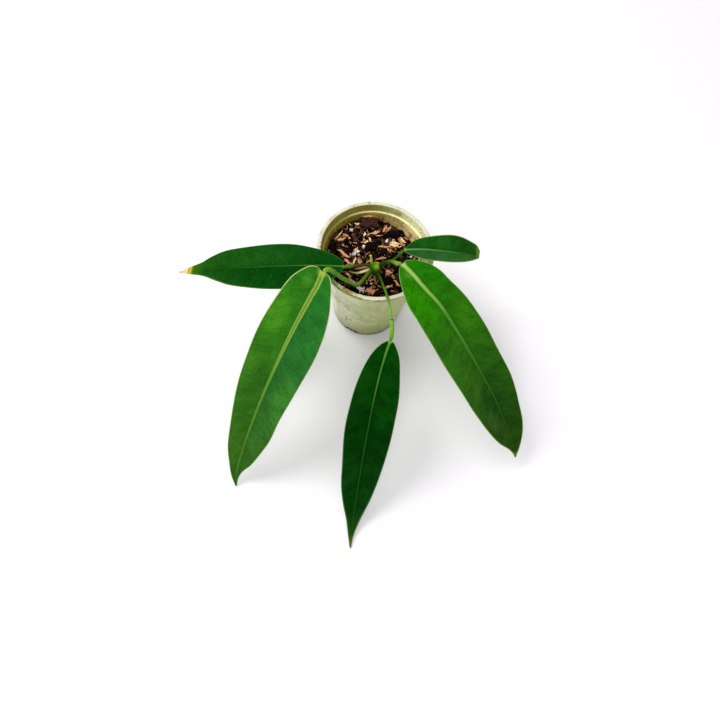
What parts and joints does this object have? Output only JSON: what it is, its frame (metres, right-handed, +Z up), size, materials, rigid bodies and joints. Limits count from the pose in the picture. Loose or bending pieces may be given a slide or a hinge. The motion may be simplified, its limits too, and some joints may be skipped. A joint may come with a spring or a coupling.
{
  "type": "potted queen anthurium",
  "caption": "Young velvet-leaved aroid house plant with long drooping leaves, growing in bark mix in a small tapered nursery pot that stands on its flat base.",
  "frame": {"origin": "centre of the pot's underside, on the surface that it rests on", "axes": "+Z up out of the pot, -Y towards the viewer and the long front leaves, +X to the viewer's right"},
  "size_m": [0.3125, 0.2827, 0.1233],
  "materials": {
    "pot": "satin moulded plastic, dusty and stained inside",
    "potting_mix": "rough bark, wood splinters and perlite",
    "stem": "smooth waxy plant tissue",
    "petiole": "smooth waxy plant tissue",
    "blade_dark": "velvety leaf",
    "blade_bright": "velvety leaf",
    "sheath_yellow": "papery plant sheath",
    "sheath_pale": "soft young sheath",
    "sheath_brown": "dry papery sheath"
  },
  "bodies": {
    "root": {"pot": "pot", "potting_mix": "potting_mix", "stem": "stem", "petiole_left": "petiole", "petiole_front_left": "petiole", "petiole_front_middle": "petiole", "petiole_right": "petiole", "petiole_small": "petiole", "blade_left": "blade_dark", "blade_front_left": "blade_bright", "blade_front_middle": "blade_dark", "blade_right": "blade_bright", "blade_small": "blade_dark", "sheath_stub": "sheath_yellow", "sheath_spear": "sheath_pale", "sheath_dry": "sheath_brown"}
  },
  "joints": []
}
